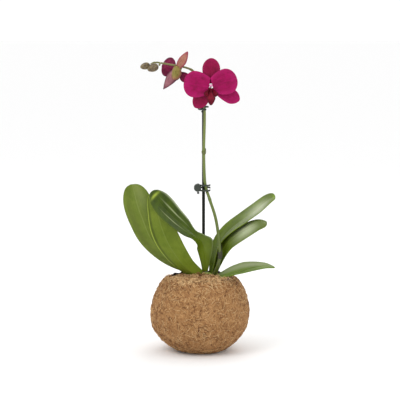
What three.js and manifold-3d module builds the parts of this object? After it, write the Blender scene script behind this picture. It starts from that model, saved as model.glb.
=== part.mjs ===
// A moth orchid growing in an open ball of moulded coir, its flower spike clipped to a stake.
// Millimetres, +Z up, +X right, +Y to the back. The origin is the middle of the ball's flat base.
import * as THREE from "three";
import { mergeVertices } from "three/addons/utils/BufferGeometryUtils.js";
import Module from "manifold-3d";

const wasm = await Module();
wasm.setup();

// ---------------------------------------------------------------- driving dimensions
const gap = 0.35; // between pieces that touch
const weldTolerance = 0.001;

// coir ball
const ballDiameter = 129;
const ballHeight = 96.5;
const bellyHeight = 48; // height of the widest circle
const baseDiameter = 52;
const mouthDiameter = 93;
const coirWall = 6;
const coirFloor = 7;

// liner, growing medium and the loose coir on top
const linerWall = 1;
const linerProud = 1.6; // above the ball's mouth
const mediumDrop = 5; // below the ball's mouth
const toppingThickness = 2.6;
const toppingCrown = 3.4; // extra thickness at the middle

// crown and roots
const crownX = 8;
const crownHalfLength = 12.5;
const crownHalfWidth = 7;
const crownProud = 7; // the crown's top above the ball's mouth
const crownTop = ballHeight + crownProud;
const crownDepth = 24;
const rootCount = 6;
const rootRadius = 2.2;
const rootReach = 30;
const rootDepth = 34;

// leaves
const leafThickness = 1.8;
const marginThickness = 0.9;
const leafSwell = 1.5; // how soon a leaf broadens above its narrow base

// flower spike
const spikeRadius = 2.1;
const spikeTipRadius = 1.15;
const pedicelRadius = 1.15;
const sheathWall = 0.7;

// flowers
const tepalThickness = 1;
const tepalMargin = 0.7;
const columnRadius = 2.1;
const columnLength = 8;

// stake and clips
const stakeRadius = 2;
const spikeUprightY = 6.2; // where the upright part of the spike stands
const stakeX = 4.6;
const stakeClearance = 0.7; // between the spike and the stake
const stakeY = spikeUprightY + spikeRadius + stakeRadius + stakeClearance;
const stakeHeight = 222.5; // above the crown
const stakeTop = crownTop + stakeHeight;
const stakeFoot = 30; // height of its buried end
const clipWall = 1.1;
const clawClearance = 0.7; // round the spike and the stake together
const clawHeight = 2.1;
const clawPitch = 3.4; // between the middles of neighbouring claws
const clipPadRadius = 5;
const clipPadThickness = 1.5;
const clipPadReach = 1.8; // from the hinge to the middle of a pad
const clipPadSplay = 20; // degrees each pad stands off the clip's middle plane
const knuckleWall = 0.8;
const hingePinRadius = 0.7;
const springWireRadius = 0.35;

// ---------------------------------------------------------------- solids from three.js geometry
const part = new THREE.Group();
const DEG = Math.PI / 180;
const backward = new THREE.Vector3(0, 1, 0);

function toSolid(geometry) {
  const bare = geometry.index ? geometry.toNonIndexed() : geometry.clone();
  bare.deleteAttribute("normal");
  bare.deleteAttribute("uv");
  const merged = mergeVertices(bare, weldTolerance);
  const corners = merged.index.array;
  const kept = [];
  for (let i = 0; i < corners.length; i += 3) {
    const [a, b, c] = [corners[i], corners[i + 1], corners[i + 2]];
    if (a !== b && b !== c && c !== a) kept.push(a, b, c);
  }
  return new wasm.Manifold(
    new wasm.Mesh({
      numProp: 3,
      vertProperties: merged.attributes.position.array,
      triVerts: new Uint32Array(kept),
    }),
  );
}

function toGeometry(solid) {
  const mesh = solid.getMesh();
  const geometry = new THREE.BufferGeometry();
  geometry.setAttribute("position", new THREE.BufferAttribute(mesh.vertProperties, 3));
  geometry.setIndex(new THREE.BufferAttribute(mesh.triVerts, 1));
  geometry.computeVertexNormals();
  return geometry;
}

function addPiece(name, solid, color, roughness, parent = part) {
  const material = new THREE.MeshStandardMaterial({ color, roughness, metalness: 0 });
  const mesh = new THREE.Mesh(toGeometry(solid), material);
  mesh.name = name;
  parent.add(mesh);
  return mesh;
}

function subtractAll(solid, cutters) {
  return cutters.reduce((left, cutter) => left.subtract(cutter), solid);
}

// A profile of [radius, height] pairs turned about +Z. It runs upwards on the outside.
function turned(profile, segments) {
  const points = profile.map(([radius, height]) => new THREE.Vector2(radius, height));
  const geometry = new THREE.LatheGeometry(points, segments);
  geometry.rotateX(90 * DEG);
  return toSolid(geometry);
}

// A round bar bent along a curve, with its radius given along the length.
function bentBar(curve, radiusAt, sides, steps) {
  const geometry = new THREE.CylinderGeometry(1, 1, 1, sides, steps);
  const frames = curve.computeFrenetFrames(steps, false);
  const place = geometry.attributes.position;
  const point = new THREE.Vector3();
  for (let i = 0; i < place.count; i++) {
    const t = Math.min(1, Math.max(0, place.getY(i) + 0.5));
    const station = Math.round(t * steps);
    const radius = radiusAt(station / steps);
    curve.getPointAt(station / steps, point);
    point.addScaledVector(frames.normals[station], place.getZ(i) * radius);
    point.addScaledVector(frames.binormals[station], place.getX(i) * radius);
    place.setXYZ(i, point.x, point.y, point.z);
  }
  return toSolid(geometry);
}

// Places on the plant are written with their height measured from the top of the crown.
function aboveCrown([x, y, height]) {
  return [x, y, crownTop + height];
}

function curveThrough(points) {
  return new THREE.CatmullRomCurve3(points.map((p) => new THREE.Vector3(...p)));
}

// Half the width of a leaf or tepal along its length, as a share of its widest half.
function ovalShare(t, widest, baseShare, tipFullness, swell = 2) {
  if (t < widest) {
    const u = (widest - t) / widest;
    return baseShare + (1 - baseShare) * (1 - u ** swell);
  }
  const u = (t - widest) / (1 - widest);
  return Math.max(0.02, (1 - u ** tipFullness) ** (1 / tipFullness));
}

// Values listed at even steps along a length, joined smoothly.
function listedValue(values, t) {
  const curve = new THREE.SplineCurve(values.map((v, i) => new THREE.Vector2(i, v)));
  return curve.getPoint(t).y;
}

// A thin blade along a curve. `upperSide` gives the direction of its upper face at t,
// `channel` folds it up towards that face, and `grow` thickens it on every side.
function blade({ curve, halfWidth, upperSide, channel, thickness, margin, rows, columns, grow = 0 }) {
  const geometry = new THREE.BoxGeometry(2, 1, 1, columns, 1, rows);
  const place = geometry.attributes.position;
  const point = new THREE.Vector3();
  const tangent = new THREE.Vector3();
  const across = new THREE.Vector3();
  for (let i = 0; i < place.count; i++) {
    const s = place.getX(i);
    const even = place.getZ(i) + 0.5;
    const t = 1 - (1 - even) ** 1.35;
    curve.getPointAt(t, point);
    curve.getTangentAt(t, tangent);
    if (even === 0) point.addScaledVector(tangent, -grow);
    if (even === 1) point.addScaledVector(tangent, grow);
    const up = upperSide(t, tangent).clone();
    up.addScaledVector(tangent, -up.dot(tangent)).normalize();
    across.crossVectors(up, tangent);
    const half = halfWidth(t) + grow;
    const depth = thickness + (margin - thickness) * Math.abs(s) ** 2;
    point.addScaledVector(across, s * half);
    point.addScaledVector(up, channel(t) * halfWidth(t) * Math.abs(s) ** 1.5);
    point.addScaledVector(up, place.getY(i) * (depth + 2 * grow));
    place.setXYZ(i, point.x, point.y, point.z);
  }
  return toSolid(geometry);
}

// ---------------------------------------------------------------- coir ball
const bellyRadius = ballDiameter / 2;
const lowAxis = bellyHeight / Math.sqrt(1 - (baseDiameter / ballDiameter) ** 2);
const highAxis = (ballHeight - bellyHeight) / Math.sqrt(1 - (mouthDiameter / ballDiameter) ** 2);

// Radius at a height of the surface that lies `inset` inside the ball's outside.
function ballRadius(height, inset) {
  const axis = (height < bellyHeight ? lowAxis : highAxis) - inset;
  const share = Math.min(1, Math.abs(height - bellyHeight) / axis);
  return (bellyRadius - inset) * Math.sqrt(1 - share ** 2);
}

// Every surface of the ball has its corners at the same levels, so that nested walls stay parallel.
const levelStep = 12;
const mediumTop = ballHeight - mediumDrop;
const levels = [];
for (let level = levelStep; level < mediumTop - 1; level += levelStep) levels.push(level);
levels.push(mediumTop);

function ballArc(fromHeight, toHeight, inset) {
  const low = Math.min(fromHeight, toHeight);
  const high = Math.max(fromHeight, toHeight);
  const between = levels.filter((level) => level > low + 1 && level < high - 1);
  const heights = [low, ...between, high];
  if (fromHeight > toHeight) heights.reverse();
  return heights.map((height) => [ballRadius(height, inset), height]);
}

const shellSegments = 28;
const shell = turned(
  [
    [0, 0],
    ...ballArc(0, ballHeight, 0),
    ...ballArc(ballHeight, coirFloor, coirWall),
    [0, coirFloor],
  ],
  shellSegments,
);
addPiece("coir_shell", shell, 0x9c6f45, 0.95);

// ---------------------------------------------------------------- liner
const linerOutset = coirWall + gap;
const linerInset = linerOutset + linerWall;
const linerRim = ballHeight + linerProud;
const linerFloor = coirFloor + gap;
const linerMouth = ballRadius(ballHeight, linerOutset);
const liner = turned(
  [
    [0, linerFloor],
    ...ballArc(linerFloor, ballHeight, linerOutset),
    [linerMouth, linerRim],
    [linerMouth - linerWall, linerRim],
    ...ballArc(ballHeight, linerFloor + linerWall, linerInset),
    [0, linerFloor + linerWall],
  ],
  shellSegments,
);

// ---------------------------------------------------------------- crown and roots
const crownCentre = new THREE.Vector3(crownX, 0, crownTop - crownDepth / 2);

function crownSolid(grow) {
  const body = new THREE.SphereGeometry(1, 14, 8);
  body.scale(crownHalfLength + grow, crownHalfWidth + grow, crownDepth / 2 + grow);
  body.translate(crownCentre.x, crownCentre.y, crownCentre.z);
  let solid = toSolid(body);
  for (let i = 0; i < rootCount; i++) {
    const heading = ((i + 0.5) / rootCount) * 360 * DEG;
    const outX = Math.cos(heading);
    const outY = Math.sin(heading);
    const start = crownCentre.z - crownDepth * 0.2;
    const path = curveThrough([
      [crownX + outX * 4, outY * 3, start],
      [crownX + outX * rootReach * 0.45, outY * rootReach * 0.4, start - rootDepth * 0.2],
      [crownX * 0.6 + outX * rootReach * 0.8, outY * rootReach * 0.8, start - rootDepth * 0.6],
      [crownX * 0.4 + outX * rootReach, outY * rootReach, start - rootDepth],
    ]);
    solid = solid.add(bentBar(path, () => rootRadius + grow, 6, 5));
  }
  return solid;
}

addPiece("crown_and_roots", crownSolid(0), 0x8a9440, 0.6);
const crownCutter = crownSolid(gap);

// ---------------------------------------------------------------- stake
function stakeSolid(grow) {
  const length = stakeTop - stakeFoot + 2 * grow;
  const bar = new THREE.CylinderGeometry(stakeRadius + grow, stakeRadius + grow, length, 16);
  bar.rotateX(90 * DEG);
  bar.translate(stakeX, stakeY, (stakeTop + stakeFoot) / 2);
  return toSolid(bar);
}

const stakeCutter = stakeSolid(gap);
addPiece("support_stake", subtractAll(stakeSolid(0), [crownCutter]), 0x20251f, 0.5);

// ---------------------------------------------------------------- leaves
// Each path is in shares of the leaf's length, from where the leaf leaves the crown. `turn` is how far,
// in degrees, the upper face is turned away from straight up: positive to the back, negative to the front.
const leaves = [
  {
    name: "leaf_left_outer",
    length: 158,
    width: 42,
    from: [-2, 5, -5.5],
    path: [[0, 0, 0], [-0.19, 0, 0.1], [-0.31, -0.03, 0.21], [-0.4, -0.07, 0.34], [-0.455, -0.1, 0.48],
      [-0.495, -0.12, 0.6], [-0.52, -0.13, 0.7], [-0.54, -0.14, 0.775]],
    turn: [50, 62, 70, 72, 72],
    side: -1,
    widest: 0.74,
    baseShare: 0.18,
    tipFullness: 2.4,
    fold: [0.5, 0.25, 0.15, 0.12, 0.1],
  },
  {
    name: "leaf_left_inner",
    length: 136,
    width: 35,
    from: [-2, -5, -5.5],
    path: [[0, 0, 0], [-0.13, -0.06, 0.11], [-0.26, -0.13, 0.3], [-0.34, -0.18, 0.48], [-0.385, -0.22, 0.65],
      [-0.42, -0.24, 0.76], [-0.445, -0.25, 0.835]],
    turn: [60, 68, 72, 72, 70],
    side: -1,
    widest: 0.52,
    baseShare: 0.5,
    tipFullness: 1.9,
    fold: [0.5, 0.25, 0.15, 0.12, 0.1],
  },
  {
    name: "leaf_centre",
    length: 147,
    width: 36,
    from: [6.5, -2, 1],
    path: [[0, 0, 0], [0, -0.01, 0.1], [-0.01, -0.04, 0.2], [-0.03, -0.07, 0.275], [-0.09, -0.11, 0.335],
      [-0.17, -0.16, 0.41], [-0.27, -0.22, 0.505], [-0.35, -0.26, 0.59], [-0.41, -0.29, 0.665],
      [-0.465, -0.31, 0.745]],
    turn: [-75, -70, -38, -38, -44, -50],
    side: -1,
    widest: 0.8,
    baseShare: 0.26,
    tipFullness: 2.2,
    fold: [0.5, 0.3, 0.2, 0.2, 0.18],
  },
  {
    name: "leaf_right_upper",
    length: 136,
    width: 40,
    from: [15.5, 5, -2.5],
    path: [[0, 0, 0], [0.025, 0.01, 0.11], [0.05, 0.03, 0.23], [0.1, 0.05, 0.33], [0.19, 0.06, 0.43],
      [0.31, 0.06, 0.52], [0.43, 0.06, 0.61], [0.54, 0.06, 0.7], [0.61, 0.05, 0.735]],
    turn: [-20, -18, -16, -16, -18],
    side: 1,
    widest: 0.62,
    baseShare: 0.24,
    tipFullness: 2.3,
    fold: [0.4, 0.3, 0.15, 0.1, 0.1],
  },
  {
    name: "leaf_right_lower",
    length: 104,
    width: 34,
    from: [20, 0.5, -2.5],
    path: [[0, 0, 0], [0.04, 0, 0.13], [0.09, -0.01, 0.27], [0.16, -0.03, 0.39], [0.27, -0.06, 0.49],
      [0.4, -0.09, 0.58], [0.52, -0.11, 0.635], [0.64, -0.13, 0.65]],
    turn: [-15, -15, -18, -19, -19],
    side: 1,
    widest: 0.66,
    baseShare: 0.24,
    tipFullness: 2.3,
    fold: [0.35, 0.25, 0.15, 0.1, 0.1],
  },
  {
    name: "leaf_low_right",
    length: 83,
    width: 28,
    from: [18.5, -9, -7],
    path: [[0, 0, 0], [0.13, -0.06, 0.045], [0.28, -0.1, 0.1], [0.45, -0.13, 0.15], [0.63, -0.16, 0.19],
      [0.79, -0.17, 0.21], [0.94, -0.18, 0.2]],
    turn: [-18, -20, -20, -18, -14],
    side: 1,
    widest: 0.5,
    baseShare: 0.3,
    tipFullness: 1.55,
    fold: [0.3, 0.3, 0.28, 0.25, 0.2],
  },
];

function leafSolid(leaf, grow) {
  const [baseX, baseY, baseZ] = aboveCrown(leaf.from);
  const points = leaf.path.map(([x, y, z]) => [
    baseX + x * leaf.length,
    baseY + y * leaf.length,
    baseZ + z * leaf.length,
  ]);
  const upperSide = (t, tangent) => {
    const back = backward.clone().addScaledVector(tangent, -backward.dot(tangent)).normalize();
    const skyward = new THREE.Vector3().crossVectors(tangent, back).multiplyScalar(leaf.side);
    const turn = listedValue(leaf.turn, t) * DEG;
    return skyward.multiplyScalar(Math.cos(turn)).addScaledVector(back, Math.sin(turn));
  };
  return blade({
    curve: curveThrough(points),
    halfWidth: (t) =>
      (leaf.width / 2) * ovalShare(t, leaf.widest, leaf.baseShare, leaf.tipFullness, leafSwell),
    upperSide,
    channel: (t) => listedValue(leaf.fold, t),
    thickness: leafThickness,
    margin: marginThickness,
    rows: 14,
    columns: 4,
    grow,
  });
}

const leafCutters = [];
for (const leaf of leaves) {
  const solid = subtractAll(leafSolid(leaf, 0), [crownCutter, stakeCutter, ...leafCutters]);
  addPiece(leaf.name, solid, 0x5c7a26, 0.45);
  leafCutters.push(leafSolid(leaf, gap));
}

// The liner's rim is notched wherever a leaf lies across it.
addPiece("liner", subtractAll(liner, leafCutters), 0x241a1c, 0.6);

// ---------------------------------------------------------------- flower spike
const spikeCurve = curveThrough(
  [
    [17, -4, -6],
    [20, -10, 3],
    [24, -14, 14],
    [26, -14, 29],
    [21, -7, 68],
    [13, 2, 94],
    [8, 7, 109],
    [6, 7, 123],
    [5, spikeUprightY, 158],
    [6, spikeUprightY, 192],
    [6, spikeUprightY, 212],
    [5, 6, 231],
    [2, 5, 248],
    [-7, 3, 260],
    [-18, 1, 266],
    [-44, -1, 271],
    [-56, -3, 273],
  ].map(aboveCrown),
);

function spikeRadiusAt(t) {
  return spikeRadius + (spikeTipRadius - spikeRadius) * t ** 1.6;
}

function spikeSolid(grow) {
  return bentBar(spikeCurve, (t) => spikeRadiusAt(t) + grow, 8, 40);
}

const spikeCutter = spikeSolid(gap);
addPiece("flower_spike", subtractAll(spikeSolid(0), [crownCutter, ...leafCutters]), 0x7d9150, 0.5);

// Papery sheaths that wrap the spike at its nodes.
function sheath(name, fromShare, toShare) {
  const points = [];
  const steps = 6;
  for (let i = 0; i <= steps; i++) {
    points.push(spikeCurve.getPointAt(fromShare + ((toShare - fromShare) * i) / steps));
  }
  const curve = new THREE.CatmullRomCurve3(points);
  const outer = bentBar(curve, (t) => spikeRadius + gap + sheathWall * (1 - 0.4 * t), 10, steps);
  const fitted = subtractAll(outer, [spikeCutter, stakeCutter, ...leafCutters]);
  addPiece(name, fitted, 0x4e5a2c, 0.7);
}

sheath("lower_sheath", 0.09, 0.135);
sheath("upper_sheath", 0.515, 0.53);

// ---------------------------------------------------------------- growing medium and loose topping
const mediumInset = linerInset + gap;
const mediumFloor = linerFloor + linerWall + gap;
const toppingBottom = mediumTop + gap;
const toppingRadius = ballRadius(ballHeight, mediumInset);
const medium = turned(
  [[0, mediumFloor], ...ballArc(mediumFloor, mediumTop, mediumInset), [0, mediumTop]],
  shellSegments,
);
addPiece("growing_medium", subtractAll(medium, [crownCutter, stakeCutter]), 0x6b4a30, 1);

const toppingArc = [];
const toppingSteps = 3;
for (let i = 0; i <= toppingSteps; i++) {
  const share = 1 - i / toppingSteps;
  const height = toppingBottom + toppingThickness + toppingCrown * (1 - share ** 2);
  toppingArc.push([toppingRadius * share, height]);
}
const topping = turned([[0, toppingBottom], [toppingRadius, toppingBottom], ...toppingArc], shellSegments);
const toppingCut = subtractAll(topping, [crownCutter, stakeCutter, spikeCutter, ...leafCutters]);
addPiece("coir_topping", toppingCut, 0xb98a58, 1);

// ---------------------------------------------------------------- flowers
// A flower is built facing +Z with its dorsal sepal along +Y. Angles run from +X.
function tepal({ length, width, angle, widest, baseShare, tipFullness, start, layer, lift, cup }, grow) {
  const out = new THREE.Vector3(Math.cos(angle * DEG), Math.sin(angle * DEG), 0);
  const points = [0, 0.35, 0.7, 1].map((share) => {
    const point = out.clone().multiplyScalar(start + (length - start) * share);
    point.z = layer + lift * share ** 1.6;
    return point;
  });
  return blade({
    curve: new THREE.CatmullRomCurve3(points),
    halfWidth: (t) => (width / 2) * ovalShare(t, widest, baseShare, tipFullness),
    upperSide: () => new THREE.Vector3(0, 0, 1),
    channel: () => cup,
    thickness: tepalThickness,
    margin: tepalMargin,
    rows: 7,
    columns: 4,
    grow,
  });
}

function flower({ prefix, at, facing, roll, tepals, lip, color }) {
  const group = new THREE.Group();
  const ahead = new THREE.Vector3(...facing).normalize();
  const up = new THREE.Vector3(0, 0, 1).addScaledVector(ahead, -ahead.z).normalize();
  up.applyAxisAngle(ahead, roll * DEG);
  const right = new THREE.Vector3().crossVectors(up, ahead);
  group.quaternion.setFromRotationMatrix(new THREE.Matrix4().makeBasis(right, up, ahead));
  group.position.set(...aboveCrown(at));
  part.add(group);

  const columnBody = new THREE.SphereGeometry(1, 8, 6);
  columnBody.scale(columnRadius, columnRadius, columnLength / 2);
  columnBody.translate(0, 0.5, columnLength / 2 - 1.5);
  const column = toSolid(columnBody);
  const columnCut = toSolid(columnBody.clone().scale(1.2, 1.2, 1.1));
  addPiece(prefix + "_column", column, 0xe9c9dd, 0.4, group);

  const cutters = [columnCut];
  for (const shape of tepals) {
    const solid = subtractAll(tepal(shape, 0), cutters);
    addPiece(prefix + "_" + shape.name, solid, color, 0.55, group);
    cutters.push(tepal(shape, gap));
  }

  // The lip: a narrow middle lobe that juts forward and down between two upright side lobes.
  const middle = blade({
    curve: new THREE.CatmullRomCurve3([
      new THREE.Vector3(0, -columnRadius - 0.6, 2.2),
      new THREE.Vector3(0, -lip.length * 0.4, lip.reach * 0.7),
      new THREE.Vector3(0, -lip.length * 0.8, lip.reach),
      new THREE.Vector3(0, -lip.length, lip.reach * 0.85),
    ]),
    halfWidth: (t) => (lip.width / 2) * ovalShare(t, 0.65, 0.4, 2),
    upperSide: () => new THREE.Vector3(0, 0.6, 1),
    channel: () => 0.3,
    thickness: 1.4,
    margin: 0.9,
    rows: 5,
    columns: 4,
  });
  const sideLobe = (hand) =>
    blade({
      curve: new THREE.CatmullRomCurve3([
        new THREE.Vector3(hand * 0.8, -columnRadius - 1.6, 3),
        new THREE.Vector3(hand * lip.spread * 0.6, -lip.length * 0.45, lip.reach * 0.8),
        new THREE.Vector3(hand * lip.spread, -lip.length * 0.45, lip.reach * 1.15),
      ]),
      halfWidth: (t) => lip.width * 0.45 * ovalShare(t, 0.6, 0.5, 2),
      upperSide: () => new THREE.Vector3(-hand, 0.3, 0.4),
      channel: () => 0.2,
      thickness: 1.2,
      margin: 0.8,
      rows: 4,
      columns: 2,
    });
  const lipSolid = middle.add(sideLobe(1)).add(sideLobe(-1));
  addPiece(prefix + "_lip", subtractAll(lipSolid, cutters), 0x8c0d3a, 0.5, group);
}

const openFlower = {
  prefix: "open_flower",
  at: [14, -16, 243],
  facing: [0, -1, 0],
  roll: 0,
  color: 0x9a0050,
  tepals: [
    { name: "dorsal_sepal", length: 35.5, width: 23, angle: 89, widest: 0.58, baseShare: 0.4,
      tipFullness: 1.9, start: 3, layer: -1.4, lift: -2, cup: 0.12 },
    { name: "right_lower_sepal", length: 41, width: 19.5, angle: -27, widest: 0.68, baseShare: 0.35,
      tipFullness: 2.1, start: 3, layer: -1.4, lift: -3, cup: 0.12 },
    { name: "left_lower_sepal", length: 34.5, width: 20, angle: -127, widest: 0.68, baseShare: 0.35,
      tipFullness: 2.1, start: 3, layer: -1.4, lift: -2, cup: 0.12 },
    { name: "right_petal", length: 34.5, width: 33, angle: 17, widest: 0.54, baseShare: 0.42,
      tipFullness: 2.4, start: 3, layer: 1.6, lift: 1, cup: 0.05 },
    { name: "left_petal", length: 35, width: 34, angle: 173, widest: 0.54, baseShare: 0.42,
      tipFullness: 2.4, start: 3, layer: 1.6, lift: 1, cup: 0.05 },
  ],
  lip: { length: 24, reach: 9, width: 9, spread: 9 },
};

const halfOpenFlower = {
  prefix: "rear_flower",
  at: [-29.5, -1.5, 263.5],
  facing: [0.3, 0.92, -0.2],
  roll: 22,
  color: 0xa8446a,
  tepals: [
    { name: "dorsal_sepal", length: 27, width: 14, angle: 101, widest: 0.5, baseShare: 0.45,
      tipFullness: 1.5, start: 3.5, layer: -2.6, lift: -3, cup: 0.22 },
    { name: "right_lower_sepal", length: 31, width: 14, angle: -76, widest: 0.5, baseShare: 0.4,
      tipFullness: 1.5, start: 3.5, layer: -1.4, lift: 5, cup: 0.3 },
    { name: "left_lower_sepal", length: 13, width: 15, angle: -100, widest: 0.5, baseShare: 0.5,
      tipFullness: 1.9, start: -4, layer: -5.2, lift: 1, cup: 0.4 },
    { name: "right_petal", length: 25, width: 26, angle: -4, widest: 0.58, baseShare: 0.2,
      tipFullness: 2.1, start: 3.5, layer: 4.6, lift: 4, cup: 0.12 },
    { name: "left_petal", length: 17, width: 19, angle: 205, widest: 0.58, baseShare: 0.2,
      tipFullness: 2.1, start: 3.5, layer: 4.6, lift: 10, cup: 0.12 },
  ],
  lip: { length: 14, reach: 8, width: 7, spread: 5 },
};

flower(openFlower);
flower(halfOpenFlower);

// ---------------------------------------------------------------- pedicels and buds
function pedicel(name, points) {
  const bar = bentBar(curveThrough(points.map(aboveCrown)), () => pedicelRadius, 7, 6);
  addPiece(name, subtractAll(bar, [spikeCutter]), 0x93a45c, 0.5);
}

pedicel("open_flower_pedicel", [[5.3, 6, 228.5], [9, 0, 232.5], [12.5, -7, 238.5], [14, -12.5, 242.5]]);
pedicel("rear_flower_pedicel", [
  [-24.5, 0.6, 266.7],
  [-24, -2.6, 265.1],
  [-25.6, -3.8, 263.7],
  [-27.4, -3.2, 263.3],
]);
pedicel("lower_bud_pedicel", [[-51, -3.5, 272.1], [-51.4, -7.5, 271.4], [-52.1, -9.2, 269.4]]);
pedicel("tip_bud_pedicel", [[-55, -2.5, 272.7], [-59.5, -1.8, 272.6], [-63.3, -2.2, 270.1]]);

// A closed bud: an egg shape, blunter at its stalk end.
function bud(name, { at, length, width, lean }) {
  const body = new THREE.SphereGeometry(1, 12, 8);
  const place = body.attributes.position;
  for (let i = 0; i < place.count; i++) {
    const slim = 1 - 0.18 * place.getY(i);
    place.setX(i, place.getX(i) * slim);
    place.setZ(i, place.getZ(i) * slim);
  }
  body.scale(width / 2, length / 2, width / 2);
  const solid = toSolid(body);
  const mesh = addPiece(name, solid, 0x8a7a50, 0.6);
  mesh.position.set(...aboveCrown(at));
  mesh.rotation.set(90 * DEG, lean * DEG, 0, "YXZ");
}

bud("lower_bud", { at: [-60.5, -9.5, 265.5], length: 15, width: 10.5, lean: -112 });
bud("tip_bud", { at: [-70.5, -2.5, 267.5], length: 13, width: 9, lean: -104 });

// ---------------------------------------------------------------- clips
// A sprung claw clip: two jaws with interleaved claws close round the spike and the stake, and two
// round pads stand off beyond the hinge. Local +X points from the hinge to the claws.
function arcBand(inner, outer, from, to) {
  const shape = new THREE.Shape();
  shape.absarc(0, 0, outer, from * DEG, to * DEG, false);
  shape.absarc(0, 0, inner, to * DEG, from * DEG, true);
  return shape;
}

function extruded(shape, bottom, height) {
  const options = { depth: height, bevelEnabled: false, curveSegments: 7 };
  const geometry = new THREE.ExtrudeGeometry(shape, options);
  geometry.translate(0, 0, bottom);
  return toSolid(geometry);
}

function polygon(corners) {
  return new THREE.Shape(corners.map(([x, y]) => new THREE.Vector2(x, y)));
}

// The clip's claws close round the smallest circle that holds the spike and the stake at the height of
// its lowest claw. `heading` is the way the claws point, in degrees from +X.
function clip(prefix, height, heading) {
  const level = crownTop + height;
  const steps = 400;
  let share = 0;
  while (spikeCurve.getPointAt(share).z < level - clawPitch - clawHeight / 2) share += 1 / steps;
  const spikePlace = spikeCurve.getPointAt(share);
  const spikeHere = spikeRadiusAt(share);
  const apart = Math.hypot(spikePlace.x - stakeX, spikePlace.y - stakeY);
  const gripRadius = (apart + spikeHere + stakeRadius) / 2 + clawClearance;
  const toSpike = (apart + spikeHere - stakeRadius) / 2 / apart;
  const group = new THREE.Group();
  group.position.set(
    stakeX + (spikePlace.x - stakeX) * toSpike,
    stakeY + (spikePlace.y - stakeY) * toSpike,
    level,
  );
  group.rotation.z = heading * DEG;
  part.add(group);

  const outer = gripRadius + clipWall;
  const knuckleRadius = hingePinRadius + gap + knuckleWall;
  const hingeX = -(outer + knuckleRadius + gap);
  const knuckleHeight = clawPitch - gap;
  const round = (radius) => new THREE.Shape().absarc(hingeX, 0, radius, 0, 360 * DEG, false);

  // `hand` is the side of the clip a jaw is on, and `tiers` are the levels of its claws.
  const jaw = (hand, tiers) => {
    const splay = clipPadSplay * DEG;
    const outwards = [-Math.cos(splay), hand * Math.sin(splay)];
    const aside = [Math.sin(splay), hand * Math.cos(splay)];
    const padOffset = knuckleRadius + gap + clipPadThickness / 2;
    const spot = (along, off) => [
      hingeX + outwards[0] * along + aside[0] * off,
      outwards[1] * along + aside[1] * off,
    ];
    const wound = (corners) => polygon(hand < 0 ? corners : corners.reverse());

    const [padX, padY] = spot(clipPadReach, padOffset);
    const disc = new THREE.CylinderGeometry(clipPadRadius, clipPadRadius, clipPadThickness, 14);
    disc.rotateZ(-hand * splay);
    disc.translate(padX, padY, 0);
    let solid = toSolid(disc);
    for (const tier of tiers) {
      const middle = tier * clawPitch;
      const from = hand < 0 ? 184 : -16;
      const claw = arcBand(gripRadius, outer, from, from + 192);
      const web = wound([
        [hingeX, 0],
        [hingeX + knuckleRadius * 0.7, hand * knuckleRadius * 0.7],
        [-outer * 0.88, hand * outer * 0.46],
        [-gripRadius - 0.3, hand * 0.7],
      ]);
      const arm = wound([
        spot(clipPadReach * 0.9 + 1, padOffset),
        spot(0, 0),
        spot(-0.4, padOffset),
        spot(1, padOffset),
      ]);
      solid = solid.add(extruded(claw, middle - clawHeight / 2, clawHeight));
      solid = solid.add(extruded(web, middle - clawHeight / 2, clawHeight));
      solid = solid.add(extruded(arm, middle - clawHeight / 2, clawHeight));
      solid = solid.add(extruded(round(knuckleRadius), middle - knuckleHeight / 2, knuckleHeight));
    }
    return solid;
  };

  // Each jaw is cut clear of the other jaw's knuckles, and both are bored for the pin.
  const relief = (tier) => {
    const bottom = tier * clawPitch - knuckleHeight / 2 - gap;
    return extruded(round(knuckleRadius + gap), bottom, knuckleHeight + 2 * gap);
  };
  const bore = extruded(round(hingePinRadius + gap), -2 * clawPitch, 4 * clawPitch);
  const double = subtractAll(jaw(-1, [1, -1]), [relief(0), bore]);
  const single = subtractAll(jaw(1, [0]), [relief(1), relief(-1), bore]);
  addPiece(prefix + "_double_jaw", double, 0x28322a, 0.5, group);
  addPiece(prefix + "_single_jaw", single, 0x28322a, 0.5, group);

  const pinTop = 1.5 * clawPitch + 0.6;
  const springTop = -1.5 * clawPitch - gap;
  const coilPitch = 0.9;
  const coilTurns = 2;
  const springHeight = coilTurns * coilPitch + 2 * springWireRadius;
  const pinBottom = springTop - springHeight - 0.6;
  const pin = new THREE.CylinderGeometry(hingePinRadius, hingePinRadius, pinTop - pinBottom, 10);
  pin.rotateX(90 * DEG);
  pin.translate(hingeX, 0, (pinTop + pinBottom) / 2);
  addPiece(prefix + "_hinge_pin", toSolid(pin), 0x5a5f5c, 0.4, group);

  const coilRadius = hingePinRadius + gap + springWireRadius;
  const coilSteps = 10;
  const coil = [];
  for (let i = 0; i <= coilTurns * coilSteps; i++) {
    const angle = (i / coilSteps) * 360 * DEG;
    const height = springTop - springWireRadius - (i / coilSteps) * coilPitch;
    coil.push([hingeX + Math.cos(angle) * coilRadius, Math.sin(angle) * coilRadius, height]);
  }
  const wire = bentBar(curveThrough(coil), () => springWireRadius, 5, 20);
  addPiece(prefix + "_spring", wire, 0xb8bcc0, 0.35, group);
}

clip("lower_clip", 109.5, 0);
clip("upper_clip", 215, -75);

export default part;
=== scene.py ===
import bisect
import math
import random

import bmesh
import bpy
from mathutils import Matrix, Quaternion, Vector, noise


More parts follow.
